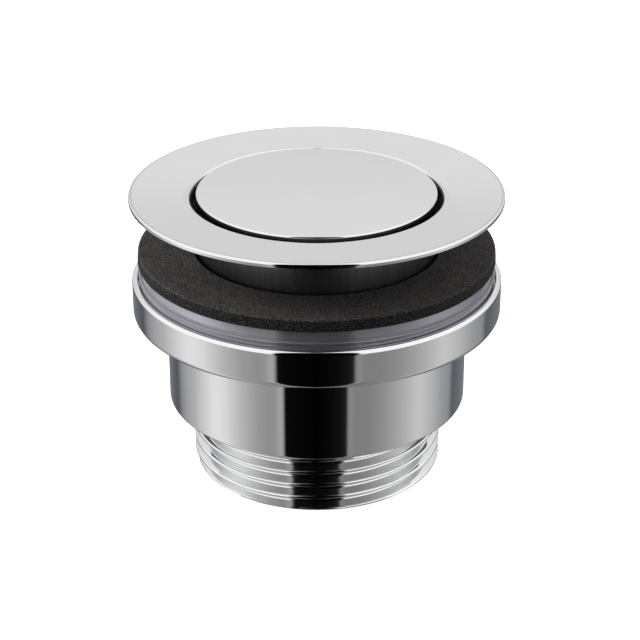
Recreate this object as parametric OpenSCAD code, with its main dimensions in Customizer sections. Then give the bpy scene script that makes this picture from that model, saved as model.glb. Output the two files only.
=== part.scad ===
// Push-operated basin waste: an upper part with a flange screws into a lower part with a threaded tail.
// A cartridge in the shank lifts the plug. The origin is the centre of the tail's end face, +Z is up,
// and the plug is closed.

/* [Basin flange] */
// Diameter of the flange
flange_d = 61; // [58:0.5:68]
// Thickness of the flange at its rim
rim_t = 0.8; // [0.7:0.1:1.3]
// Rounding of the rim's upper edge
rim_round = 0.4; // [0.3:0.05:0.6]
// How far the flange's top sinks from the rim to the plug
dish = 0.4; // [0.2:0.05:0.6]
// Rounding of the lip around the plug
lip_round = 1.5; // [0.9:0.1:2]
// Diameter of the smooth neck and of the shank thread below it
neck_d = 39.6; // [39:0.1:40.4]
// Wall of the neck
neck_wall = 2.1; // [1.8:0.1:2.3]

/* [Plug] */
// Diameter of the plug cap
plug_d = 39.2; // [37:0.1:40]
// Thickness of the plug cap at its edge
plug_t = 1.8; // [1.4:0.1:2]
// Rounding of the cap's upper edge
plug_round = 0.3; // [0.2:0.05:0.6]
// Gap around the cap, level with the flange
plug_gap = 0.6; // [0.5:0.05:1.2]
// How far the plug rises to open
open_travel = 8; // [6:0.5:8.5]
// How far it is pressed below closed to release it
press_travel = 1; // [0.6:0.1:1.2]

/* [Basin clamp] */
// Free height between the foam and the flange rim
clamp_gap = 8.8; // [7.8:0.1:12]
// How far the foam's edge lies inside the collar's
foam_inset = 1; // [0.2:0.1:3]
// Thickness of the foam gasket
foam_t = 2.05; // [1.5:0.05:4]
// Thickness of the friction washer
washer_t = 3.85; // [3:0.05:5]
// Height of the washer's narrower upper step
washer_step = 1.85; // [1.2:0.05:2.2]

/* [Lower part] */
// Major diameter of the tail thread, G 1 1/4
tail_d = 41.91; // [41.5:0.01:42]
// Pitch of the tail thread
thread_pitch = 2.309; // [2:0.001:2.5]
// Length of the tail below the sleeve
tail_len = 11.9; // [11:0.1:16]
// Bore of the tail
tail_bore_d = 35.4; // [33:0.2:36]
// Diameter of the sleeve
sleeve_d = 49.9; // [49:0.1:54]
// Length of the sleeve
sleeve_len = 15.4; // [14:0.05:20]
// Width of the collar's lip round the washer
collar_lip = 1; // [0.8:0.1:1.5]
// Height of the collar
collar_h = 6.4; // [5.2:0.05:8]
// Depth of the seat for the washer in the collar
seat_depth = 1; // [0.6:0.1:1.6]

/* [Cartridge] */
// Outer diameter of the barrel
barrel_d = 16; // [15.6:0.2:18]
// Wall of the cam sleeve on the plunger
cam_wall = 1.82; // [1.72:0.02:1.92]
// Diameter of the stud between plug and plunger
stud_d = 6; // [5:0.5:6]
// Diameter of the guide pins
pin_d = 2; // [1.6:0.1:2.2]
// Wire of the return spring
spring_wire = 0.8; // [0.6:0.05:0.9]
// Turns of the return spring
spring_turns = 11; // [8:1:13]

/* [Hidden] */
$fn = 96;

// Overshoot of a cut, play of a sliding fit, play of a threaded fit, and room between bodies that pass
eps = 0.05;
slide_play = 0.08;
thread_play = 0.15;
free_room = 0.3;

// Heights from the tail's end up to the flange
sleeve_z = tail_len;
collar_z = sleeve_z + sleeve_len;
rim_z = collar_z + collar_h;
seat_z = rim_z - seat_depth;
washer_z = seat_z + washer_t;
foam_z = washer_z + foam_t;
top_z = foam_z + clamp_gap + rim_t;

// Lower part: its collar matches the flange
collar_r = flange_d / 2;
tail_r = tail_d / 2;
tail_bore_r = tail_bore_d / 2;
tail_chamfer = 0.4;
relief_depth = 1.6;
relief_r = tail_r - relief_depth;
relief_h = 1.35;
thread_end = sleeve_z - relief_h;
thread_depth = 0.6403 * thread_pitch;
thread_flat = thread_pitch / 6;
sleeve_round = 0.4;
collar_round = 1;
collar_lip_round = 0.7;
washer_room = 0.15;
seat_r = collar_r - collar_lip;
shank_bore_r = neck_d / 2 + thread_play;
chamber_floor = 2.4;
chamber_z = sleeve_z + chamber_floor;
chamber_h = 6.5;
chamber_depth = 1.2;
chamber_r = shank_bore_r + chamber_depth;

// Washer and foam
washer_r = seat_r - washer_room;
washer_ledge = 0.5;
foam_r = collar_r - foam_inset;
gasket_hole_r = neck_d / 2 + free_room;

// Upper part: throat, seat cone, bowl and shank
neck_r = neck_d / 2;
throat_r = neck_r - neck_wall;
plug_r = plug_d / 2;
opening_r = plug_r + plug_gap;
bowl_wall = 2;
bowl_r = opening_r + bowl_wall;
bowl_depth = 4.2;
bowl_cone = 1.2;
under_drop = 1.5;
seat_top = 3;
seat_drop = 2;
clamp_down = clamp_gap + rim_t - bowl_depth - bowl_cone - free_room;
shank_z = chamber_z + clamp_down + free_room;
shank_chamfer = 0.6;
lip_w = 1.1;
lip_t = 1.2;
seal_w = 3;
seal_t = 1;

// Plug, from the cap down to the plunger
plug_drop = 0.2;
plug_z = top_z - plug_drop;
disc_z = plug_z - plug_t;
carrier_h = 5.4;
carrier_z = disc_z - carrier_h;
carrier_floor = 1;
carrier_room = 1.3;
carrier_r = throat_r - carrier_room;
carrier_wall = 2.6;
groove_foot = 0.8;
groove_z = carrier_z + groove_foot;
groove_h = 2;
groove_depth = 1.4;
boss_r = 5.5;
seal_play = 0.2;
lip_from = 0.6;
lip_to = 1;
stud_r = stud_d / 2;
stud_play = 0.03;
stud_nut_h = 3;
stud_nut_wall = 2;
stud_nut_af = stud_d + 2 * stud_nut_wall;
stud_nut_z = carrier_z - stud_nut_h;
plunger_top = stud_nut_z - free_room;
stud_depth = 7;
stud_z = plunger_top - stud_depth;
stud_cap = 1.5;

// Cartridge, from its cap down to the floor of the barrel
barrel_r = barrel_d / 2;
barrel_wall = 1.5;
barrel_bore_r = barrel_r - barrel_wall;
cam_r = barrel_bore_r - free_room;
cam_bore_r = cam_r - cam_wall;
plunger_r = cam_bore_r - slide_play;
cap_z = stud_nut_z - press_travel - free_room;
cap_rim = 1.2;
cap_spigot = 2;
cap_overhang = 1;
barrel_z = cap_z - cap_rim;
cap_low_z = barrel_z - cap_spigot;
ring_wire = 1.1;
ring_room = 0.12;
ring_down = 1.6;
ring_z = cap_z - ring_down;
clip_t = 0.8;
clip_w = 2;
clip_groove = 0.5;
track_wide = 2.5;
track_margin = 0.9;
track_h = open_travel + press_travel + track_wide;
cam_len = track_h + 2 * track_margin;
cam_top = cap_low_z - free_room - open_travel - clip_t - slide_play;
cam_z = cam_top - cam_len;
foot_t = 1.4;
foot_z = cam_z - slide_play - foot_t;
floor_z = foot_z - press_travel - free_room;
barrel_floor = 1.4;
barrel_bottom = floor_z - barrel_floor;

// The track turns a quarter turn over its height, so two rising and two falling runs close on themselves
track_turn = 90;
track_per_mm = track_turn / track_h;
track_depth = 1.1;
track_r = cam_r - track_depth;
pin_r = pin_d / 2;
pin_z = cam_z + track_margin + track_wide / 2 + open_travel;
tip_room = 0.15;
pin_tip_r = track_r + tip_room;
track_mid_r = cam_r - track_depth / 2;
track_slope = atan(track_h / (track_mid_r * track_turn * PI / 180));
track_play = 0.4;
track_arc = (pin_d + track_play) / sin(track_slope) / track_mid_r * 180 / PI;
track_slices = 12;
track_over = 1;
track_from = (pin_z - cam_z - track_margin) * track_per_mm;

// Spider and lock nut
hub_wall = 2.2;
hub_bore_r = barrel_r + slide_play;
hub_r = hub_bore_r + hub_wall;
spider_z = shank_z + lip_t;
pin_cover = 3.6;
spider_top = pin_z + pin_cover;
spider_ring = 2;
spoke_w = 3;
spoke_root = 1;
spoke_len = throat_r - spider_ring / 2 - hub_r + spoke_root;
spokes = 3;
shoulder_w = 1.8;
shoulder_r = barrel_r + shoulder_w;
shoulder_h = 1.5;
lock_nut_h = 3.6;
lock_nut_wall = 2.5;
lock_nut_af = barrel_d + 2 * lock_nut_wall;

// Return spring, in the bore of the plunger
spring_room = 0.25;
plunger_wall = 1.2;
spring_bore_r = plunger_r - plunger_wall;
spring_r = spring_bore_r - spring_room - spring_wire / 2;
plunger_web = 2.4;
spring_top = stud_z - plunger_web;
spring_sides = 6;
spring_steps = 14;

// What is cut off a convex corner to leave a round of radius r.
// The vector into points from the corner into the material.
module corner_waste(at, r, into)
    translate(at)
        difference() {
            translate([into.x > 0 ? -eps : -r, into.y > 0 ? -eps : -r]) square(r + eps);
            translate(into * r) circle(r);
        }

// What is cut between two crests of the tail thread: flanks that leave a flat at the crest and the root
module groove_waste(z) {
    mouth = thread_pitch - thread_flat;
    translate([tail_r, z])
        polygon([
            [-thread_depth, thread_flat / 2], [0, mouth / 2], [eps, mouth / 2],
            [eps, -mouth / 2], [0, -mouth / 2], [-thread_depth, -thread_flat / 2]
        ]);
}

// A flat ring standing on z
module ring(outer_r, inner_r, z, h)
    translate([0, 0, z])
        difference() {
            cylinder(r = outer_r, h = h);
            translate([0, 0, -eps]) cylinder(r = inner_r, h = h + 2 * eps);
        }

// A hex nut with its bore, standing on z
module hex_nut(af, bore_r, z, h)
    translate([0, 0, z])
        difference() {
            cylinder(d = af / cos(30), h = h, $fn = 6);
            translate([0, 0, -eps]) cylinder(r = bore_r, h = h + 2 * eps);
        }

// Collar, sleeve and tail, turned from one piece. The tail has the thread's form and pitch, in rings.
module lower_body()
    color("silver")
        rotate_extrude()
            difference() {
                polygon([
                    [tail_bore_r, 0], [tail_r - tail_chamfer, 0], [tail_r, tail_chamfer],
                    [tail_r, thread_end], [relief_r, thread_end], [relief_r, sleeve_z],
                    [sleeve_d / 2, sleeve_z], [sleeve_d / 2, collar_z], [collar_r, collar_z],
                    [collar_r, rim_z], [seat_r, rim_z], [seat_r, seat_z], [shank_bore_r, seat_z],
                    [shank_bore_r, chamber_z + chamber_h], [chamber_r, chamber_z + chamber_h],
                    [chamber_r, chamber_z], [tail_bore_r, chamber_z]
                ]);
                for (z = [thread_end : -thread_pitch : 0]) groove_waste(z);
                corner_waste([sleeve_d / 2, sleeve_z], sleeve_round, [-1, 1]);
                corner_waste([collar_r, collar_z], collar_round, [-1, 1]);
                corner_waste([collar_r, rim_z], collar_lip_round, [-1, -1]);
            }

// Clear ring in the collar's seat, with a lower outer ledge
module friction_washer()
    color("lavender")
        rotate_extrude()
            polygon([
                [gasket_hole_r, seat_z], [washer_r, seat_z], [washer_r, washer_z - washer_step],
                [washer_r - washer_ledge, washer_z - washer_step], [washer_r - washer_ledge, washer_z],
                [gasket_hole_r, washer_z]
            ]);

module foam_gasket()
    color("dimgray") ring(foam_r, gasket_hole_r, washer_z, foam_t);

// Flange, bowl with the seat cone, and shank with an inner lip at its end
module valve_flange()
    color("silver")
        translate([0, 0, top_z])
            rotate_extrude()
                difference() {
                    polygon([
                        [opening_r, -dish], [opening_r + lip_round, -dish],
                        [flange_d / 2 - rim_round, 0], [flange_d / 2, 0], [flange_d / 2, -rim_t],
                        [bowl_r, -rim_t - under_drop], [bowl_r, -bowl_depth],
                        [neck_r, -bowl_depth - bowl_cone], [neck_r, shank_z + shank_chamfer - top_z],
                        [neck_r - shank_chamfer, shank_z - top_z], [throat_r - lip_w, shank_z - top_z],
                        [throat_r - lip_w, spider_z - top_z], [throat_r, spider_z - top_z],
                        [throat_r, -seat_top - seat_drop], [opening_r, -seat_top]
                    ]);
                    corner_waste([opening_r, -dish], lip_round, [1, -1]);
                    corner_waste([flange_d / 2, 0], rim_round, [-1, -1]);
                }

// Rubber ring against the sloping underside of the flange
module flange_seal() {
    rise = under_drop / (flange_d / 2 - bowl_r);
    inner_r = bowl_r + free_room;
    inner_z = top_z - rim_t - under_drop + free_room * rise;
    color("dimgray")
        rotate_extrude()
            polygon([
                [inner_r, inner_z], [inner_r + seal_w, inner_z + seal_w * rise],
                [inner_r + seal_w, inner_z - seal_t], [inner_r, inner_z - seal_t]
            ]);
}

// Ring on the shank's inner lip, with spokes to the hub that holds the barrel
module spider()
    color("gainsboro")
        difference() {
            union() {
                ring(throat_r - slide_play, throat_r - spider_ring, spider_z, spider_top - spider_z);
                translate([0, 0, shank_z]) cylinder(r = hub_r, h = spider_top - shank_z);
                for (i = [0 : spokes - 1])
                    rotate(i * 360 / spokes)
                        translate([hub_r - spoke_root, -spoke_w / 2, spider_z])
                            cube([spoke_len, spoke_w, spider_top - spider_z]);
            }
            translate([0, 0, shank_z - eps]) cylinder(r = hub_bore_r, h = spider_top - shank_z + 2 * eps);
        }

// Tube with a shoulder that sits on the hub, and cross holes for the guide pins
module cartridge_barrel()
    color("gold")
        difference() {
            union() {
                translate([0, 0, barrel_bottom]) cylinder(r = barrel_r, h = barrel_z - barrel_bottom);
                translate([0, 0, spider_top]) cylinder(r = shoulder_r, h = shoulder_h);
            }
            translate([0, 0, floor_z]) cylinder(r = barrel_bore_r, h = barrel_z - floor_z + eps);
            translate([-shoulder_r, 0, pin_z]) rotate([0, 90, 0]) cylinder(r = pin_r, h = 2 * shoulder_r);
        }

// Flanged guide bush with an inner groove for the wiper ring
module barrel_cap()
    color("ivory")
        difference() {
            union() {
                translate([0, 0, barrel_z]) cylinder(r = barrel_r + cap_overhang, h = cap_rim);
                translate([0, 0, cap_low_z]) cylinder(r = barrel_bore_r - slide_play, h = cap_spigot + eps);
            }
            translate([0, 0, cap_low_z - eps])
                cylinder(r = plunger_r + slide_play, h = cap_rim + cap_spigot + 2 * eps);
            translate([0, 0, ring_z - ring_wire / 2 - ring_room])
                cylinder(r = plunger_r + ring_wire + 2 * ring_room, h = ring_wire + 2 * ring_room);
        }

module wiper_ring()
    color("dimgray")
        translate([0, 0, ring_z])
            rotate_extrude()
                translate([plunger_r + ring_room + ring_wire / 2, 0]) circle(d = ring_wire);

// Two pins in the barrel wall, kept in by the hub, with their tips in the cam track
module guide_pins()
    color("gray")
        for (side = [0, 180])
            rotate(side)
                translate([pin_tip_r, 0, pin_z])
                    rotate([0, 90, 0])
                        cylinder(r = pin_r, h = barrel_r - slide_play - pin_tip_r);

module barrel_lock_nut()
    color("goldenrod") hex_nut(lock_nut_af, barrel_r + slide_play, shank_z - lock_nut_h, lock_nut_h);

// Coil from the barrel's floor to the roof of the plunger's bore, closed at both ends
module return_spring() {
    coil_h = spring_top - floor_z - spring_wire;
    rings = spring_turns * spring_steps;
    points = [
        for (i = [0 : rings], j = [0 : spring_sides - 1])
            let (turn = i * 360 / spring_steps, around = j * 360 / spring_sides,
                r = spring_r + spring_wire / 2 * cos(around))
            [r * cos(turn), r * sin(turn),
                floor_z + spring_wire / 2 + coil_h * i / rings + spring_wire / 2 * sin(around)]
    ];
    side_faces = [
        for (i = [0 : rings - 1], j = [0 : spring_sides - 1])
            let (next = (j + 1) % spring_sides)
            [i * spring_sides + j, i * spring_sides + next,
                (i + 1) * spring_sides + next, (i + 1) * spring_sides + j]
    ];
    end_faces = [
        [for (j = [spring_sides - 1 : -1 : 0]) j],
        [for (j = [0 : spring_sides - 1]) rings * spring_sides + j]
    ];
    color("darkgray") polyhedron(points, concat(side_faces, end_faces), convexity = 12);
}

// Polished cap with a rounded edge and a boss for the stud
module plug_cap()
    color("silver")
        rotate_extrude()
            difference() {
                polygon([
                    [0, plug_z - stud_cap], [0, plug_z], [plug_r, plug_z], [plug_r, disc_z],
                    [boss_r, disc_z], [boss_r, carrier_z + carrier_floor],
                    [stud_r + stud_play, carrier_z + carrier_floor], [stud_r + stud_play, plug_z - stud_cap]
                ]);
                corner_waste([plug_r, plug_z], plug_round, [-1, -1]);
            }

// Cup under the cap, with the groove for the lip seal
module seal_carrier()
    color("ivory")
        rotate_extrude()
            polygon([
                [stud_r + slide_play, carrier_z], [carrier_r, carrier_z], [carrier_r, groove_z],
                [carrier_r - groove_depth, groove_z], [carrier_r - groove_depth, groove_z + groove_h],
                [carrier_r, groove_z + groove_h], [carrier_r, disc_z], [carrier_r - carrier_wall, disc_z],
                [carrier_r - carrier_wall, carrier_z + carrier_floor],
                [stud_r + slide_play, carrier_z + carrier_floor]
            ]);

// Lip seal: a ring in the carrier's groove with a lip that reaches into the throat
module plug_seal() {
    root_r = carrier_r - groove_depth;
    lip_r = throat_r - seal_play;
    low = groove_z + slide_play;
    high = groove_z + groove_h - slide_play;
    color("dimgray")
        rotate_extrude()
            polygon([
                [root_r, low], [carrier_r, low], [lip_r, low + lip_from], [lip_r, low + lip_to],
                [carrier_r, high], [root_r, high]
            ]);
}

module plug_stud()
    color("lightgray")
        translate([0, 0, stud_z]) cylinder(r = stud_r, h = plug_z - stud_cap - stud_z);

module stud_lock_nut()
    color("lightgray") hex_nut(stud_nut_af, stud_r + stud_play, stud_nut_z, stud_nut_h);

// Sliding tube: stud hole from above, spring bore from below, a foot under the cam sleeve
module plunger()
    color("whitesmoke")
        difference() {
            union() {
                translate([0, 0, foot_z]) cylinder(r = plunger_r, h = plunger_top - foot_z);
                translate([0, 0, foot_z]) cylinder(r = cam_r, h = foot_t);
            }
            translate([0, 0, stud_z]) cylinder(r = stud_r + stud_play, h = stud_depth + eps);
            translate([0, 0, foot_z - eps]) cylinder(r = spring_bore_r, h = spring_top - foot_z + eps);
            ring(plunger_r + eps, plunger_r - clip_groove, cam_top + slide_play, clip_t);
        }

// Snap ring with a gap
module sleeve_clip()
    color("gray")
        difference() {
            ring(plunger_r - clip_groove + clip_w, plunger_r - clip_groove, cam_top + slide_play, clip_t);
            translate([0, -clip_w, cam_top]) cube([2 * plunger_r, 2 * clip_w, 2 * clip_t]);
        }

// One run of the track over the sleeve's height, rising with the given hand
module track_run(hand)
    translate([0, 0, cam_z + track_margin])
        linear_extrude(
            height = track_h, twist = -hand * track_turn, slices = track_slices, $fn = track_slices
        )
            polygon([
                for (side = [-1, 0, 1]) track_r * [cos(side * track_arc / 2), sin(side * track_arc / 2)],
                for (side = [1, 0, -1])
                    (cam_r + track_over) * [cos(side * track_arc / 2), sin(side * track_arc / 2)]
            ]);

// Sleeve on the plunger with a zig-zag track: the pins in it make the sleeve turn as it travels
module cam_sleeve()
    color("steelblue")
        difference() {
            ring(cam_r, cam_bore_r, cam_z, cam_len);
            for (side = [0, 180], hand = [1, -1])
                rotate(side - track_from) track_run(hand);
        }

lower_body();
friction_washer();
foam_gasket();
valve_flange();
flange_seal();
spider();
cartridge_barrel();
barrel_cap();
wiper_ring();
guide_pins();
barrel_lock_nut();
return_spring();
plug_cap();
seal_carrier();
plug_seal();
plug_stud();
stud_lock_nut();
plunger();
sleeve_clip();
cam_sleeve();
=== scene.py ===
from math import cos, pi, radians, sin, tan

import bmesh
import bpy
from mathutils import Matrix, Vector, noise as curl


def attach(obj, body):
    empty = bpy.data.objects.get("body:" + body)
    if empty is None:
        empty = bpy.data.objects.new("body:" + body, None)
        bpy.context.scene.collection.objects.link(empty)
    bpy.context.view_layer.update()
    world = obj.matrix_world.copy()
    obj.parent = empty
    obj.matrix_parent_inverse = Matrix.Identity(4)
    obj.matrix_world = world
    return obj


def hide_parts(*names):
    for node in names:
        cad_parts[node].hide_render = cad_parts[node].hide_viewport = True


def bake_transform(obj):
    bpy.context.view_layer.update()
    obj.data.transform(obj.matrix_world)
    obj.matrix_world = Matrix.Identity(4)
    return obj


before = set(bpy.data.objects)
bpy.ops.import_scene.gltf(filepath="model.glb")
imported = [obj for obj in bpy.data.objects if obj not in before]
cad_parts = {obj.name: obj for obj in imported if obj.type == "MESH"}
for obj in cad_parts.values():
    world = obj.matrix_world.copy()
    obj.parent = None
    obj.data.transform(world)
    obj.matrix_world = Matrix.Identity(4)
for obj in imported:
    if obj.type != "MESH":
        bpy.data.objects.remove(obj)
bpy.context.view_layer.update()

scene = bpy.context.scene
scene.view_settings.view_transform = "Standard"


# The camera looks down on the waste from the front.
# It is a long lens, about 30 cm away.
camera = bpy.data.objects.new("camera", bpy.data.cameras.new("camera"))
camera.data.lens = 101.9
camera.data.sensor_width = 36
camera.data.clip_start = 0.01
camera.location = (0.00054, -0.2741, 0.1561)
camera.rotation_euler = (radians(64.368), 0, 0)
scene.collection.objects.link(camera)
scene.camera = camera


# The studio is a white room. Chrome shows little of its own, so the room that polished metal mirrors
# is drawn by direction: a dark card in front that reaches up overhead, pale screens on both sides,
# and a light back wall with a dark foot. Matte surfaces get half of its light.
class Field:
    """A socket on its way through a shader, so that shader maths reads as plain sums."""

    def __init__(self, socket):
        self.socket = socket
        self.tree = socket.id_data

    def node(self, kind, settings=None, inputs=None, out=0):
        """Adds a node of that kind: first its settings, then the values or links of its sockets."""
        made = self.tree.nodes.new("ShaderNode" + kind)
        for name, value in (settings or {}).items():
            if name == "stops":
                stops = made.color_ramp.elements
                stops.remove(stops[1])
                stops[0].position, stops[0].color = value[0][0], (*value[0][1], 1)
                for position, colour in value[1:]:
                    stops.new(position).color = (*colour, 1)
            else:
                setattr(made, name, value)
        for name, value in (inputs or {}).items():
            if isinstance(value, Field):
                self.tree.links.new(value.socket, made.inputs[name])
            else:
                made.inputs[name].default_value = value
        return Field(made.outputs[out])

    def sum(self, operation, a, b):
        """Colours are mixed, vectors and numbers go through the maths node of their kind."""
        kinds = [side.socket.type for side in (a, b) if isinstance(side, Field)]
        if "RGBA" in kinds:
            a, b = (side if isinstance(side, Field) else (side, side, side, 1) for side in (a, b))
            settings = {"data_type": "RGBA", "blend_type": operation}
            return self.node("Mix", settings, {0: 1.0, 6: a, 7: b}, out=2)
        if "VECTOR" in kinds:
            a, b = (side if isinstance(side, (Field, tuple)) else (side, side, side) for side in (a, b))
            return self.node("VectorMath", {"operation": operation}, {0: a, 1: b})
        return self.node("Math", {"operation": operation}, {0: a, 1: b})

    def __add__(self, other):
        return self.sum("ADD", self, other)

    def __radd__(self, other):
        return self.sum("ADD", other, self)

    def __rsub__(self, other):
        return self.sum("SUBTRACT", other, self)

    def __mul__(self, other):
        return self.sum("MULTIPLY", self, other)

    def __rmul__(self, other):
        return self.sum("MULTIPLY", other, self)

    def part(self, axis):
        return self.node("SeparateXYZ", inputs={0: self}, out=axis)

    def ease(self, low, high):
        """Rises from 0 at low to 1 at high."""
        bounds = {"Value": self, "From Min": low, "From Max": high}
        return self.node("MapRange", {"interpolation_type": "SMOOTHSTEP"}, bounds)

    def between(self, low, high):
        """Mixes two colours, this value being the share of the second."""
        low, high = (side if isinstance(side, Field) else (*side, 1) for side in (low, high))
        return self.node("Mix", {"data_type": "RGBA"}, {0: self, 6: low, 7: high}, out=2)

    def feed(self, shader, socket):
        self.tree.links.new(self.socket, shader.inputs[socket])


def bearing_stops(*stops):
    """Ramp stops from (degrees to the right of the camera, grey or colour)."""
    return [(degrees / 360 + 0.5, tone if isinstance(tone, tuple) else (tone, tone, tone))
            for degrees, tone in stops]


room = bpy.data.worlds.new("studio_room")
room.use_nodes = True
scene.world = room
view = Field(room.node_tree.nodes.new("ShaderNodeTexCoord").outputs["Generated"])
height = view.part(2)
turn = view.node("Math", {"operation": "ARCTAN2"}, {0: view.part(0), 1: 0 - view.part(1)})
bearing = turn * (0.5 / pi) + 0.5
behind = turn.node("Math", {"operation": "ABSOLUTE"}, {0: turn}).ease(radians(110), radians(150))

table_side = view.node("ValToRGB", {"stops": bearing_stops(
    (-180, (0.26, 0.275, 0.305)), (-137, (0.088, 0.098, 0.11)), (-128, (0.275, 0.285, 0.30)),
    (-121, (0.37, 0.372, 0.385)), (-109, 0.475), (-96, 0.685), (-88, 0.81), (-82, 0.83), (-74, 0.76),
    (-60, 0.515), (-46, 0.35), (-36, 0.30), (-32, 0.315), (-28, 0.40), (-26.2, 0.40), (-23.9, 0.003),
    (0, 0.0006), (12, 0.003), (20.5, 0.008), (22.5, 0.02), (24.5, 0.275), (30, 0.23), (40, 0.24),
    (52, 0.30), (67, 0.43), (84, 0.61), (88, 0.60), (99, 0.50), (112, 0.355),
    (124, (0.27, 0.285, 0.31)), (130, (0.108, 0.12, 0.13)), (180, (0.24, 0.255, 0.28)))}, {"Fac": bearing})
table_fade = 0.6 + 0.4 * height.ease(-0.95, -0.55)
wall_foot = behind * height.ease(-0.4, -0.25)
below = table_side * table_fade * (1 - 0.95 * wall_foot)

lamp_side = view.node("ValToRGB", {"stops": bearing_stops(
    (-180, 0.79), (-140, 0.79), (-110, 1.05), (-40, 1.05), (-26, 1.0), (-24, 0.001),
    (24, 0.001), (26, 1.0), (40, 1.05), (110, 1.05), (140, 0.79), (180, 0.79))}, {"Fac": bearing})
low_wall = behind * (1 - height.ease(0.33, 0.4))
above = lamp_side * (1 - 0.1 * low_wall)

horizon = (height + 0.1 * behind).ease(-0.2, 0.0)
ceiling = 0.22 * height.ease(0.96, 0.985)
mirrored = horizon.between(below, above)
mirrored = mirrored.sum("LIGHTEN", mirrored, ceiling)
ray = room.node_tree.nodes.new("ShaderNodeLightPath").outputs
sharp_rays = Field(ray["Is Glossy Ray"]) + Field(ray["Is Transmission Ray"])
drawn = mirrored * (0.5 + 0.5 * sharp_rays)
seen = Field(ray["Is Camera Ray"]).between(drawn, (1.0, 1.0, 1.0))
seen.feed(room.node_tree.nodes["Background"], "Color")


# The table is a wide white sheet that the tail stands on. It is lit to white and keeps the soft shadow,
# and the metal mirrors the studio's cards instead of it.
def finish(name, **constants):
    """A new material: its shader, with sockets that are the same all over, and a place in millimetres."""
    made = bpy.data.materials.new(name)
    made.use_nodes = True
    shader = made.node_tree.nodes["Principled BSDF"]
    for socket, value in constants.items():
        shader.inputs[socket.replace("_", " ")].default_value = value
    place = Field(made.node_tree.nodes.new("ShaderNodeTexCoord").outputs["Object"]) * 1000.0
    return made, shader, place


table_half = 3.0
table_white, shader, place = finish("table_white", Base_Color=(0.8, 0.8, 0.8, 1), Roughness=0.9,
                                    Specular_IOR_Level=0.0, Emission_Strength=1.0)
ray = table_white.node_tree.nodes.new("ShaderNodeLightPath").outputs
Field(ray["Is Camera Ray"]).between((0, 0, 0), (0.75, 0.75, 0.75)).feed(shader, "Emission Color")

sheet = bpy.data.meshes.new("table")
corners = ((-1, -1), (1, -1), (1, 1), (-1, 1))
sheet.from_pydata([(x * table_half, y * table_half, 0) for x, y in corners], [], [(0, 1, 2, 3)])
sheet.materials.append(table_white)
table = bpy.data.objects.new("table", sheet)
table.visible_glossy = table.visible_transmission = table.visible_diffuse = False
scene.collection.objects.link(table)

# Three soft lamps: one above on the left, one on the right, one behind. Metal doesn't mirror them.
lamp_size = 0.5
lamp_aim = Vector((0, 0, 0.03))
for name, at, watts in (("lamp_left", (-0.85, 0.05, 0.5), 10.0),
                        ("lamp_right", (0.8, 0.1, 0.6), 2.5),
                        ("lamp_back", (0.1, 0.6, 0.7), 1.8)):
    lamp = bpy.data.objects.new(name, bpy.data.lights.new(name, "AREA"))
    lamp.data.energy = watts
    lamp.data.size = lamp_size
    lamp.location = at
    lamp.rotation_euler = (lamp_aim - Vector(at)).to_track_quat("-Z", "Y").to_euler()
    lamp.visible_glossy = lamp.visible_transmission = False
    scene.collection.objects.link(lamp)


# The lower body is turned from brass and chrome plated: a collar that carries the washer, a plain sleeve,
# and a tail with the pipe thread for the trap. The shank of the upper part screws into it from above.
# Sizes from here on are in millimetres, and FINE, MEDIUM and SMALL are steps round the axis.
MM = 0.001
FINE, MEDIUM, SMALL = 256, 192, 96


def outline(*corners, arc=5):
    """A closed line through corners (radius, height, rounding) in millimetres, with the corners rounded.

    A point just outside each rounding keeps the shading of the flat beside it even.
    """
    line = []
    for i, (x, z, rounding) in enumerate(corners):
        here = Vector((x, z))
        if not rounding:
            line.append(here)
            continue
        back = (Vector(corners[i - 1][:2]) - here).normalized()
        ahead = (Vector(corners[(i + 1) % len(corners)][:2]) - here).normalized()
        half = back.angle(ahead) / 2
        centre = here + (back + ahead).normalized() * rounding / sin(half)
        first = here + back * rounding / tan(half) - centre
        last = here + ahead * rounding / tan(half) - centre
        sweep = pi - 2 * half
        beside = rounding * 0.12
        line.append(centre + first + back * beside)
        for k in range(arc + 1):
            share = k / arc
            line.append(centre + (first * sin((1 - share) * sweep) + last * sin(share * sweep)) / sin(sweep))
        line.append(centre + last + ahead * beside)
    return line


def spin(bm, line, steps=MEDIUM):
    """Turns a closed line of (radius, height) round the axis. The line may depend on the angle."""
    shape = line if callable(line) else lambda angle: line
    columns = []
    for i in range(steps):
        angle = 2 * pi * i / steps
        columns.append([bm.verts.new((x * cos(angle) * MM, x * sin(angle) * MM, z * MM))
                        for x, z in shape(angle)])
    for here, there in zip(columns, columns[1:] + columns[:1]):
        for k in range(len(here)):
            bm.faces.new((here[k - 1], here[k], there[k], there[k - 1]))
    on_axis = [point for point in bm.verts if point.co.xy.length < 1e-6]
    bmesh.ops.remove_doubles(bm, verts=on_axis, dist=1e-6)
    return bm


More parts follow.
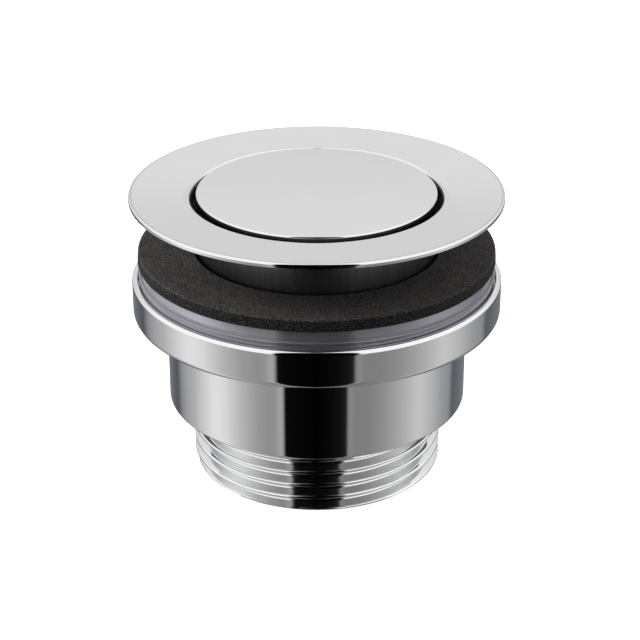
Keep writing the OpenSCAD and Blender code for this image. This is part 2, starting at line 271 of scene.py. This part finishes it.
def wind(bm, crest, pitch, low, high, start=None, phase=0.0, steps=MEDIUM, material=0):
    """A right-hand round-form thread from low to high, as a closed shell in a new bm.

    Its form is the 55 degree pipe thread's. It grows out of the core it sits on, or at the low end
    from the radius start.
    """
    root = crest - 0.6403 * pitch
    rounding = 0.1373 * pitch
    arc = [radians(62.5) * k / 2 for k in (-2, -1, 0, 1, 2)]
    form = [(rounding * sin(a), crest - rounding * (1 - cos(a))) for a in arc]
    along, radius = form[-1]
    flank = [(along + share * (pitch / 2 - 2 * along), radius + share * (root + crest - 2 * radius))
             for share in (0.1, 0.9)]
    form += flank
    form += [(pitch / 2 + rounding * sin(a), root + rounding * (1 - cos(a))) for a in arc]
    form += [(pitch - along, radius) for along, radius in reversed(flank)]
    turns = range(-2, int((high - low) / pitch) + 3)
    rows = [(n * pitch + along, radius) for n in turns for along, radius in form]
    core = root - 0.08
    inside = core - 0.1
    columns = []
    for i in range(steps + 1):
        angle = 2 * pi * i / steps
        columns.append([])
        for along, radius in rows:
            z = low + along + pitch * (i / steps + phase)
            x = max(core, min(radius, (start or core) + z - low, core + high - z))
            columns[-1].append(bm.verts.new((x * cos(angle) * MM, x * sin(angle) * MM, z * MM)))
    for here, there in zip(columns, columns[1:]):
        for k in range(len(rows) - 1):
            bm.faces.new((here[k], there[k], there[k + 1], here[k + 1])).material_index = material
    bmesh.ops.remove_doubles(bm, verts=columns[0] + columns[-1], dist=1e-7)
    inner = []
    for level, side in ((low, -1), (high, 1)):
        bmesh.ops.bisect_plane(bm, geom=bm.verts[:] + bm.edges[:] + bm.faces[:], plane_co=(0, 0, level * MM),
                               plane_no=(0, 0, side), clear_outer=True, dist=1e-8)
        rim = [edge for edge in bm.edges if edge.is_boundary
               and all(abs(point.co.z - level * MM) < 1e-7 for point in edge.verts)]
        made = bmesh.ops.extrude_edge_only(bm, edges=rim)["geom"]
        for point in made:
            if isinstance(point, bmesh.types.BMVert):
                point.co.xy *= inside * MM / point.co.xy.length
        inner += [edge for edge in made if isinstance(edge, bmesh.types.BMEdge) and edge.is_boundary]
    bmesh.ops.bridge_loops(bm, edges=inner)
    return bm


def show(name, bm, *finishes, edge=40):
    """Makes the piece, shaded smooth except at edges sharper than that many degrees."""
    bmesh.ops.recalc_face_normals(bm, faces=bm.faces[:])
    mesh = bpy.data.meshes.new(name)
    bm.to_mesh(mesh)
    bm.free()
    mesh.shade_smooth()
    mesh.set_sharp_from_angle(angle=radians(edge))
    for material in finishes:
        mesh.materials.append(material)
    made = bpy.data.objects.new(name, mesh)
    scene.collection.objects.link(made)
    return made


def noise(place, size, detail=2.0):
    """Cloudy noise between 0 and 1, with patches of about that size in millimetres."""
    return place.node("TexNoise", inputs={"Vector": place, "Scale": 1.0 / size, "Detail": detail})


def bump(shader, relief, depth):
    """Relief of that depth in millimetres."""
    settings = {"Height": relief, "Distance": depth * MM, "Strength": 1.0}
    relief.node("Bump", inputs=settings).feed(shader, "Normal")


tail_bore_r = 17.7
thread_r = 20.955
thread_pitch = 2.309
thread_top = 11.0
thread_start_r = 20.555
thread_phase = 0.317
foot_r = 20.5
foot_h = 0.4
core_r = 19.4
core_low = 1.0
sleeve_r = 24.95
sleeve_low = 11.9
collar_r = 30.5
collar_low = 27.3
collar_top = 33.7
seat_r = 29.5
seat_z = 32.7
socket_r = 19.95
relief_r = 21.15
relief_low = 14.3
relief_top = 20.8

chrome, shader, place = finish("polished_chrome", Metallic=1.0)
smudge = noise(place, 9.0)
smudge.between((0.862, 0.862, 0.872), (0.902, 0.902, 0.912)).feed(shader, "Base Color")
(0.035 + 0.03 * smudge).feed(shader, "Roughness")

thread_chrome, shader, place = finish("thread_chrome", Metallic=1.0)
grain = noise(place, 0.12, 3.0)
grain.between((0.84, 0.845, 0.85), (0.92, 0.92, 0.925)).feed(shader, "Base Color")
(0.04 + 0.06 * grain).feed(shader, "Roughness")
bump(shader, grain, 0.0006)

body = wind(bmesh.new(), thread_r, thread_pitch, 0.0, thread_top, thread_start_r, thread_phase, FINE,
            material=1)
spin(body, outline(
    (tail_bore_r, 0, 0.3), (foot_r, 0, 0.2), (foot_r, foot_h, 0.1), (core_r, core_low, 0.1),
    (core_r, sleeve_low, 0.3), (sleeve_r, sleeve_low, 0.4), (sleeve_r, collar_low, 0.2),
    (collar_r, collar_low, 1.0), (collar_r, collar_top, 0.7), (seat_r, collar_top, 0.2),
    (seat_r, seat_z, 0.1), (socket_r, seat_z, 0.3), (socket_r, relief_top, 0.2), (relief_r, relief_top, 0),
    (relief_r, relief_low, 0.2), (tail_bore_r, relief_low, 0.3)), FINE)
lower_body = show("lower_body_turned", body, chrome, thread_chrome)
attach(lower_body, "lower")
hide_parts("lower_body")


# The friction washer is a moulded ring of clear plastic that lies loose in the collar's seat.
# The foam slides on it while the body is tightened. Its outer ledge is lower than its middle, and its colour
# is painted darker there as painted shade, because it lies deep in the seat.
washer_bore_r = 20.1
washer_r = 29.35
washer_low = 32.72
ledge_z = 34.7
step_r = 28.85
washer_top = 36.53

clear_plastic, shader, place = finish("clear_plastic", Metallic=0.45, Transmission_Weight=0.3, IOR=1.49)
flow = noise(place * (1.0, 1.0, 3.0), 4.0, 3.0)
# The colour is painted darker below the ledge, as painted shade for the ledge lying deep in the seat.
depth = 0.6 + 0.4 * place.part(2).ease(ledge_z - 0.1, ledge_z + 0.5)
(flow.between((0.60, 0.585, 0.66), (0.69, 0.675, 0.75)) * depth).feed(shader, "Base Color")
(0.14 + 0.06 * flow).feed(shader, "Roughness")

washer = show("friction_washer_clear", spin(bmesh.new(), outline(
    (washer_bore_r, washer_low, 0.2), (washer_r, washer_low, 0.2), (washer_r, ledge_z, 0.2),
    (step_r, ledge_z, 0.08), (step_r, washer_top, 0.2), (washer_bore_r, washer_top, 0.2))), clear_plastic)
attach(washer, "gaskets")
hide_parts("friction_washer")


# The gasket is die cut from a sheet of black closed-cell foam and lies on the washer, against the basin.
# Its edge is a little uneven where the knife pressed it, and cut cells speckle it all over. Its side is
# painted darker than its top, partly as painted shade.
foam_bore_r = 20.1
foam_low = 36.56
foam_waist = 37.5
foam_top = 38.6
foam_foot_r = 29.5
foam_waist_r = 29.48
foam_top_r = 29.4
foam_low_row = 24.0
foam_inner_row = 23.5
foam_outer_row = 27.0
uneven_r = 29.0
uneven_z = 37.6
edge_share = 0.0016
top_depth = 0.05
long_waves = 120
short_waves = 700

foam, shader, place = finish("cell_foam", Specular_IOR_Level=0.25)
cells = place.node("TexVoronoi", {"feature": "F1"}, {"Vector": place, "Scale": 4.5, "Randomness": 1.0})
mottle = noise(place, 0.18, 2.0)
patches = noise(place, 2.0, 3.0)
speckle = cells.ease(0.15, 0.7) * 0.3 + mottle.ease(0.4, 0.65) * 0.6 + patches.ease(0.3, 0.7) * 0.1
skin = speckle.ease(0.25, 0.75).between((0.012, 0.0115, 0.0113), (0.118, 0.111, 0.107))
# The side is painted darker than the top: partly coarser cut cells, and partly painted shade, since the side
# gets less light than the top.
cut = noise(place, 0.2, 1.0).ease(0.42, 0.68).between((0.006, 0.006, 0.006), (0.072, 0.069, 0.067))
facing = Field(foam.node_tree.nodes.new("ShaderNodeTexCoord").outputs["Normal"]).part(2)
facing.ease(0.3, 0.8).between(cut, skin).feed(shader, "Base Color")
(0.98 - 0.2 * mottle).feed(shader, "Roughness")
bump(shader, cells * 0.6 + mottle * 0.6, 0.16)

pad = spin(bmesh.new(), outline(
    (foam_bore_r, foam_low, 0.2), (foam_low_row, foam_low, 0), (foam_foot_r, foam_low, 0.25),
    (foam_waist_r, foam_waist, 0), (foam_top_r, foam_top, 0.4), (foam_outer_row, foam_top, 0),
    (foam_inner_row, foam_top, 0), (foam_bore_r, foam_top, 0.35)), FINE)
for point in pad.verts:
    across = Vector((point.co.x, point.co.y, 0))
    waver = 1 + curl.noise(across * long_waves) + 0.4 * curl.noise(point.co * short_waves)
    if across.length > uneven_r * MM:
        point.co.xy *= 1 - edge_share * waver
    if point.co.z > uneven_z * MM:
        point.co.z -= top_depth * MM * waver
gasket = show("foam_gasket_cut", pad, foam)
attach(gasket, "gaskets")
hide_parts("foam_gasket")


# The upper part is turned from brass and chrome plated: the flange that shows in the basin, a bowl with the
# seat for the plug, a neck, and below it the shank thread. A lip inside the shank's end carries the spider.
# The flange and the bowl's outer wall are polished. The neck and the shank keep a dull plating, and the
# inside below the lip is painted dark in the same finish as painted shade, so the gap round the plug stays
# black.
opening_r = 20.2
lip_round = 1.5
dish_z = 47.8
flange_r = 30.5
flange_top = 48.2
rim_round = 0.4
rim_low = 47.4
bowl_r = 22.2
bowl_top = 45.9
bowl_low = 44.0
bowl_floor = 45.2
neck_r = 19.8
neck_top = 42.8
neck_low = 31.4
shank_pitch = 2.0
shank_top = 31.5
shank_core_r = 18.5
shank_core_top = 30.7
shank_low = 18.5
shank_lip_r = 16.6
shank_lip_z = 19.7
throat_r = 17.7
throat_top = 43.2
dull_and_shade_r = 20.4
dull_and_shade_top = 46.9

# A dark, dull plating: the real finish on the neck and shank, and painted shade on the bowl's inside.
dull_chrome_and_bowl_shade, shader, place = finish("dull_chrome_and_bowl_shade", Metallic=1.0)
# Fine vertical streaks: partly drawn grain, and partly a painted reflection of the foam below.
grain_and_foam_reflection = noise(place * (1.0, 1.0, 0.03), 0.22, 2.0)
grain_and_foam_reflection.between((0.20, 0.20, 0.203), (0.34, 0.34, 0.345)).feed(shader, "Base Color")
(0.25 + 0.12 * grain_and_foam_reflection).feed(shader, "Roughness")
bump(shader, grain_and_foam_reflection, 0.004)

upper = wind(bmesh.new(), neck_r, shank_pitch, shank_low, shank_top, material=1)
spin(upper, outline(
    (opening_r, dish_z, lip_round), (opening_r + lip_round, dish_z, 0), (flange_r - rim_round, flange_top, 0),
    (flange_r, flange_top, rim_round), (flange_r, rim_low, 0.08), (bowl_r, bowl_top, 0.3),
    (bowl_r, bowl_low, 0.3), (neck_r, neck_top, 0.4), (neck_r, neck_low, 0.1),
    (shank_core_r, shank_core_top, 0), (shank_core_r, shank_low, 0.1), (shank_lip_r, shank_low, 0.1),
    (shank_lip_r, shank_lip_z, 0.1), (throat_r, shank_lip_z, 0.1), (throat_r, throat_top, 0.3),
    (opening_r, bowl_floor, 0.2), arc=8), FINE)
# Faces inside the lip's radius and below its round get the dark finish: dull plating on the neck, painted
# shade inside the bowl.
for face in upper.faces:
    middle = face.calc_center_median()
    if middle.xy.length < dull_and_shade_r * MM and middle.z < dull_and_shade_top * MM:
        face.material_index = 1
flange = show("valve_flange_turned", upper, chrome, dull_chrome_and_bowl_shade)
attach(flange, "upper")
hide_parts("valve_flange")


# A black rubber ring against the sloping underside of the flange seals it to the basin.
# It is moulded with soft edges and keeps the dull bloom of cured rubber.
seal_bore_r = 22.5
seal_r = 25.5
seal_low = 44.97
seal_bore_top = 45.94
seal_edge_top = 46.48

rubber, shader, place = finish("black_rubber", Specular_IOR_Level=0.4)
bloom = noise(place, 1.6, 4.0)
bloom.ease(0.35, 0.8).between((0.010, 0.010, 0.011), (0.028, 0.028, 0.030)).feed(shader, "Base Color")
(0.5 + 0.25 * bloom).feed(shader, "Roughness")
bump(shader, noise(place, 0.12, 2.0), 0.01)

seal = show("flange_seal_ring", spin(bmesh.new(), outline(
    (seal_bore_r, seal_bore_top, 0.2), (seal_bore_r, seal_low, 0.3), (seal_r, seal_low, 0.3),
    (seal_r, seal_edge_top, 0.2))), rubber)
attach(seal, "upper")
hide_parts("flange_seal")


# The spider is moulded from white acetal: an outer ring that sits on the shank's inner lip, and three spokes
# to a hub that holds the cartridge in the middle of the water way.
ring_bore_r = 15.7
ring_r = 17.62
ring_low = 19.72
ring_top = 24.57
hub_bore_r = 8.08
hub_r = 10.28
hub_low = 18.5
hub_top = 24.55
spoke_size = (7.0 * MM, 3.0 * MM, 4.83 * MM, 1)
spoke_at = (13.0 * MM, 0, 22.14 * MM)
spoke_round = 0.35

white_plastic, shader, place = finish("white_acetal", Specular_IOR_Level=0.45)
shade = noise(place, 5.0, 2.0)
shade.between((0.74, 0.735, 0.71), (0.82, 0.815, 0.80)).feed(shader, "Base Color")
(0.34 + 0.14 * shade).feed(shader, "Roughness")
bump(shader, noise(place, 0.15, 2.0), 0.006)

carrier = spin(bmesh.new(), outline(
    (ring_bore_r, ring_low, 0.3), (ring_r, ring_low, 0.2), (ring_r, ring_top, 0.2),
    (ring_bore_r, ring_top, 0.3)))
spin(carrier, outline(
    (hub_bore_r, hub_low, 0.2), (hub_r, hub_low, 0.3), (hub_r, hub_top, 0.3), (hub_bore_r, hub_top, 0.2)))
for spoke in range(3):
    bar = bmesh.ops.create_cube(carrier, size=1.0)["verts"]
    aim = Matrix.Rotation(spoke * 2 * pi / 3, 4, "Z") @ Matrix.Translation(spoke_at)
    bmesh.ops.transform(carrier, verts=bar, matrix=aim @ Matrix.Diagonal(spoke_size))
    edges = list({edge for point in bar for edge in point.link_edges})
    bmesh.ops.bevel(carrier, geom=edges, offset=spoke_round * MM, segments=3, profile=0.5, affect="EDGES")
spider = show("spider_moulded", carrier, white_plastic)
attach(spider, "upper")
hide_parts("spider")


# The cartridge barrel is turned from bright brass: closed at the bottom, with a shoulder that sits on the
# spider's hub and a fine thread below it for the lock nut.
barrel_r = 8.0
barrel_bore_r = 6.5
barrel_core_r = 7.3
barrel_core_top = 18.9
barrel_low = 6.64
barrel_floor = 8.04
barrel_top = 35.3
barrel_thread_low = 7.4
barrel_thread_top = 19.4
barrel_pitch = 1.0
shoulder_r = 9.8
shoulder_low = 24.57
shoulder_top = 26.07

brass, shader, place = finish("turned_brass", Metallic=1.0)
rings = noise(place * (0.15, 0.15, 1.0), 0.1, 2.0)
tarnish = noise(place, 4.0, 3.0)
tarnish.between((0.80, 0.62, 0.31), (0.68, 0.50, 0.24)).feed(shader, "Base Color")
(0.16 + 0.16 * rings + 0.1 * tarnish).feed(shader, "Roughness")
bump(shader, rings, 0.006)

tube = wind(bmesh.new(), barrel_r, barrel_pitch, barrel_thread_low, barrel_thread_top, steps=SMALL)
spin(tube, outline(
    (0, barrel_low, 0), (barrel_core_r, barrel_low, 0.4), (barrel_core_r, barrel_core_top, 0.1),
    (barrel_r, barrel_thread_top, 0.1), (barrel_r, shoulder_low, 0.1), (shoulder_r, shoulder_low, 0.15),
    (shoulder_r, shoulder_top, 0.3), (barrel_r, shoulder_top, 0.2), (barrel_r, barrel_top, 0.2),
    (barrel_bore_r, barrel_top, 0.2), (barrel_bore_r, barrel_floor, 0.3), (0, barrel_floor, 0)), SMALL)
barrel = show("cartridge_barrel_turned", tube, brass)
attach(barrel, "upper")
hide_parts("cartridge_barrel")


# Two hardened steel pins are pressed through the barrel's wall, and the hub keeps them in.
# Their tips run in the zig-zag track of the cam sleeve.
pin_r = 1.0
pin_tip = 5.25
pin_end = 7.92
pin_z = 20.97
pin_steps = 32

steel, shader, place = finish("bright_steel", Metallic=1.0)
wear = noise(place, 0.8, 3.0)
wear.between((0.56, 0.565, 0.57), (0.68, 0.68, 0.68)).feed(shader, "Base Color")
(0.2 + 0.2 * wear).feed(shader, "Roughness")

pair = bmesh.new()
for side in (0, pi):
    earlier = set(pair.verts)
    spin(pair, outline((0, pin_tip, 0), (pin_r, pin_tip, 0.25), (pin_r, pin_end, 0.15), (0, pin_end, 0)),
         pin_steps)
    bmesh.ops.transform(pair, verts=[point for point in pair.verts if point not in earlier],
                        matrix=Matrix.Translation((0, 0, pin_z * MM)) @ Matrix.Rotation(side, 4, "Z")
                        @ Matrix.Rotation(pi / 2, 4, "Y"))
pins = show("guide_pins_pressed", pair, steel)
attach(pins, "upper")
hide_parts("guide_pins")


# A thin brass nut on the barrel's thread pulls the shoulder down on the hub.
# Its corners are chamfered at 30 degrees on both faces.
NUT_STEPS = 120
NUT_EDGE = 22
lock_nut_flats = 21.0
lock_nut_bore_r = 8.08
lock_nut_low = 14.9
lock_nut_top = 18.48


def hexagon(flats, bore, low, high):
    """The line round a chamfered hexagon nut, for spin."""
    mouth = 0.3
    face_r = flats * 0.49

    def line(angle):
        reach = flats / 2 / cos(angle % (pi / 3) - pi / 6)
        drop = (reach - face_r) * tan(pi / 6)
        return [(bore, low + mouth), (bore + mouth, low), (face_r, low), (reach, low + drop),
                (reach, high - drop), (face_r, high), (bore + mouth, high), (bore, high - mouth)]
    return line


lock_nut = show("barrel_lock_nut_hex", spin(bmesh.new(), hexagon(
    lock_nut_flats, lock_nut_bore_r, lock_nut_low, lock_nut_top), NUT_STEPS), brass, edge=NUT_EDGE)
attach(lock_nut, "upper")
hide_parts("barrel_lock_nut")


# The plunger is a white acetal tube that slides in the barrel: the stud screws into its top, the spring sits
# in its bore, and its foot carries the cam sleeve. A groove takes the clip above the sleeve.
plunger_r = 4.3
plunger_low = 9.34
plunger_top = 37.5
plunger_bore_r = 3.1
spring_seat = 28.1
stud_hole_r = 3.03
stud_hole_low = 30.5
foot_plate_r = 6.2
foot_plate_top = 10.74
groove_r = 3.8
groove_low = 24.2
groove_top = 25.0

slider = show("plunger_moulded", spin(bmesh.new(), outline(
    (plunger_bore_r, plunger_low, 0.2), (foot_plate_r, plunger_low, 0.3), (foot_plate_r, foot_plate_top, 0.3),
    (plunger_r, foot_plate_top, 0.2), (plunger_r, groove_low, 0), (groove_r, groove_low, 0),
    (groove_r, groove_top, 0), (plunger_r, groove_top, 0), (plunger_r, plunger_top, 0.4),
    (stud_hole_r, plunger_top, 0.3), (stud_hole_r, stud_hole_low, 0), (0, stud_hole_low, 0),
    (0, spring_seat, 0), (plunger_bore_r, spring_seat, 0.1)), SMALL), white_plastic)
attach(slider, "plug")
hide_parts("plunger")


# The cam sleeve is moulded from blue acetal and turns freely on the plunger. Its shape is the solid's own:
# two rising and two falling runs of the track, cut into each other.
cam_blue, shader, place = finish("blue_acetal", Specular_IOR_Level=0.45)
shade = noise(place, 2.0, 3.0)
shade.between((0.05, 0.13, 0.30), (0.08, 0.19, 0.40)).feed(shader, "Base Color")
(0.34 + 0.16 * shade).feed(shader, "Roughness")
bump(shader, noise(place, 0.12, 2.0), 0.006)
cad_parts["cam_sleeve"].material_slots[0].material = cam_blue


# A spring steel snap ring in the plunger's groove keeps the cam sleeve on.
# It is stamped from sheet, with a gap to open it by.
clip_bore_r = 3.82
clip_r = 5.8
clip_low = 24.22
clip_top = 24.98
clip_start = 30
clip_span = 300
clip_steps = 48


def sweep_section(bm, columns):
    """Closes the section at each column with the next one, and caps both ends."""
    for here, there in zip(columns, columns[1:]):
        for k in range(len(here)):
            bm.faces.new((here[k - 1], here[k], there[k], there[k - 1]))
    bm.faces.new(columns[0])
    bm.faces.new(columns[-1])
    return bm


ring = bmesh.new()
section = outline((clip_bore_r, clip_low, 0.1), (clip_r, clip_low, 0.15), (clip_r, clip_top, 0.15),
                  (clip_bore_r, clip_top, 0.1))
columns = []
for step in range(clip_steps + 1):
    angle = radians(clip_start + clip_span * step / clip_steps)
    columns.append([ring.verts.new((x * cos(angle) * MM, x * sin(angle) * MM, z * MM)) for x, z in section])
clip = show("sleeve_clip_stamped", sweep_section(ring, columns), steel)
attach(clip, "plug")
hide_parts("sleeve_clip")


# The return spring is coiled from stainless wire with closed end turns. It stands on the barrel's floor
# and pushes the plunger up.
wire_r = 0.4
wire_sides = 10
coil_r = 2.45
coil_low = 8.44
coil_high = 27.7
coil_turns = 11
coil_steps = 32
end_rise = 0.85

open_turns = coil_turns - 2
open_rise = (coil_high - coil_low - 2 * end_rise) / open_turns
coil = bmesh.new()
columns = []
for step in range(coil_turns * coil_steps + 1):
    wound = step / coil_steps
    lift = min(wound, 1) * end_rise + min(max(wound - 1, 0), open_turns) * open_rise
    lift += max(wound - open_turns - 1, 0) * end_rise
    angle = 2 * pi * wound
    columns.append([])
    for side in range(wire_sides):
        around = 2 * pi * side / wire_sides
        x = coil_r + wire_r * cos(around)
        z = coil_low + lift + wire_r * sin(around)
        columns[-1].append(coil.verts.new((x * cos(angle) * MM, x * sin(angle) * MM, z * MM)))
spring = show("return_spring_coiled", sweep_section(coil, columns), steel)
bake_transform(spring)
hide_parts("return_spring")


# The barrel's cap is a flanged bush of ivory acetal, pressed into the barrel. It guides the plunger,
# and a groove in its bore holds the wiper ring.
bush_bore_r = 4.38
bush_r = 6.42
bush_low = 33.3
bush_flange_r = 9.0
bush_flange_low = 35.32
bush_top = 36.5
wiper_groove_r = 5.64
wiper_groove_low = 34.23
wiper_groove_top = 35.57

ivory_plastic, shader, place = finish("ivory_acetal", Specular_IOR_Level=0.45)
shade = noise(place, 3.0, 2.0)
shade.between((0.70, 0.65, 0.53), (0.78, 0.74, 0.63)).feed(shader, "Base Color")
(0.34 + 0.14 * shade).feed(shader, "Roughness")
bump(shader, noise(place, 0.15, 2.0), 0.006)

bush = show("barrel_cap_moulded", spin(bmesh.new(), outline(
    (bush_bore_r, bush_low, 0.1), (bush_r, bush_low, 0.3), (bush_r, barrel_top, 0),
    (bush_flange_r, bush_flange_low, 0.2), (bush_flange_r, bush_top, 0.4), (bush_bore_r, bush_top, 0.3),
    (bush_bore_r, wiper_groove_top, 0), (wiper_groove_r, wiper_groove_top, 0),
    (wiper_groove_r, wiper_groove_low, 0), (bush_bore_r, wiper_groove_low, 0)), SMALL), ivory_plastic)
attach(bush, "upper")
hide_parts("barrel_cap")


# The wiper is a small rubber ring of round section in the cap's groove.
# It keeps grit out of the cartridge.
wiper_r = 4.97
wiper_z = 34.9
wiper_section_r = 0.55
wiper_sides = 20

circle = [2 * pi * k / wiper_sides for k in range(wiper_sides)]
wiper = show("wiper_ring_moulded", spin(bmesh.new(), [
    (wiper_r + wiper_section_r * cos(a), wiper_z + wiper_section_r * sin(a)) for a in circle], SMALL), rubber)
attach(wiper, "upper")
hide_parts("wiper_ring")


# The stud joins the plug to the plunger. It is a length of threaded rod in steel,
# screwed into both and turned in or out to set the plug level with the flange.
stud_r = 2.98
stud_core_r = 2.26
stud_low = 30.5
stud_top = 46.48
stud_pitch = 1.0
stud_steps = 64

rod = wind(bmesh.new(), stud_r, stud_pitch, stud_low, stud_top, steps=stud_steps)
spin(rod, outline((0, stud_low, 0), (stud_core_r, stud_low, 0.1), (stud_core_r, stud_top, 0.1),
                  (0, stud_top, 0)), stud_steps)
stud = show("plug_stud_threaded", rod, steel)
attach(stud, "plug")
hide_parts("plug_stud")


# A steel nut on the stud locks that setting against the carrier's floor.
# Its corners are chamfered like the larger nut's.
stud_nut_flats = 10.0
stud_nut_bore_r = 3.03
stud_nut_low = 37.8
stud_nut_top = 40.78

stud_nut = show("stud_lock_nut_hex", spin(bmesh.new(), hexagon(
    stud_nut_flats, stud_nut_bore_r, stud_nut_low, stud_nut_top), NUT_STEPS), steel, edge=NUT_EDGE)
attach(stud_nut, "plug")
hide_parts("stud_lock_nut")


# The seal carrier is a shallow cup of ivory acetal under the plug's cap, held by the stud.
# The groove round it takes the lip seal.
cup_r = 16.4
cup_hole_r = 3.08
cup_low = 40.8
cup_floor = 41.8
cup_top = 46.18
cup_inner_r = 13.8
lip_groove_r = 15.0
lip_groove_low = 41.6
lip_groove_top = 43.6

cup = show("seal_carrier_moulded", spin(bmesh.new(), outline(
    (cup_hole_r, cup_low, 0.2), (cup_r, cup_low, 0.3), (cup_r, lip_groove_low, 0.1),
    (lip_groove_r, lip_groove_low, 0), (lip_groove_r, lip_groove_top, 0), (cup_r, lip_groove_top, 0.1),
    (cup_r, cup_top, 0.2), (cup_inner_r, cup_top, 0.2), (cup_inner_r, cup_floor, 0.3),
    (cup_hole_r, cup_floor, 0.2))), ivory_plastic)
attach(cup, "plug")
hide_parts("seal_carrier")


# The plug's seal is a rubber ring in that groove. Its lip reaches into the throat and bends there
# when the plug is down.
lip_bore_r = 15.02
lip_root_r = 16.4
lip_r = 17.5
lip_low = 41.68
lip_top = 43.52
lip_edge_low = 42.28
lip_edge_top = 42.68

lip = show("plug_seal_lip", spin(bmesh.new(), outline(
    (lip_bore_r, lip_low, 0.1), (lip_root_r, lip_low, 0.2), (lip_r, lip_edge_low, 0.15),
    (lip_r, lip_edge_top, 0.15), (lip_root_r, lip_top, 0.3), (lip_bore_r, lip_top, 0.1))), rubber)
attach(lip, "plug")
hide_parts("plug_seal")


# The plug's cap is what a finger presses: a turned brass disc with a rounded edge, chrome plated and
# polished, with a threaded boss under it for the stud. Below the edge its side is painted dark as painted
# shade, which keeps the gap round the cap black.
cap_r = 19.6
cap_low = 46.2
cap_top = 48.0
cap_round = 0.3
boss_r = 5.5
boss_low = 41.82
boss_hole_r = 3.03
boss_hole_top = 46.5

# The cap's side is painted dark: painted shade that keeps the gap round the cap black.
turned, shader, place = finish("cap_side_painted_shade", Metallic=1.0)
lines = noise(place * (1.0, 1.0, 12.0), 1.5, 2.0)
lines.between((0.045, 0.045, 0.046), (0.085, 0.085, 0.086)).feed(shader, "Base Color")
(0.3 + 0.15 * lines).feed(shader, "Roughness")

cap = spin(bmesh.new(), outline(
    (0, boss_hole_top, 0), (boss_hole_r, boss_hole_top, 0), (boss_hole_r, boss_low, 0.2),
    (boss_r, boss_low, 0.2), (boss_r, cap_low, 0.3), (cap_r, cap_low, 0.2), (cap_r, cap_top, cap_round),
    (0, cap_top, 0), arc=8), FINE)
# Faces below the edge's round get the dark painted shade.
for face in cap.faces:
    face.material_index = face.calc_center_median().z < (cap_top - cap_round) * MM
disc = show("plug_cap_turned", cap, chrome, turned)
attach(disc, "plug")
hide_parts("plug_cap")
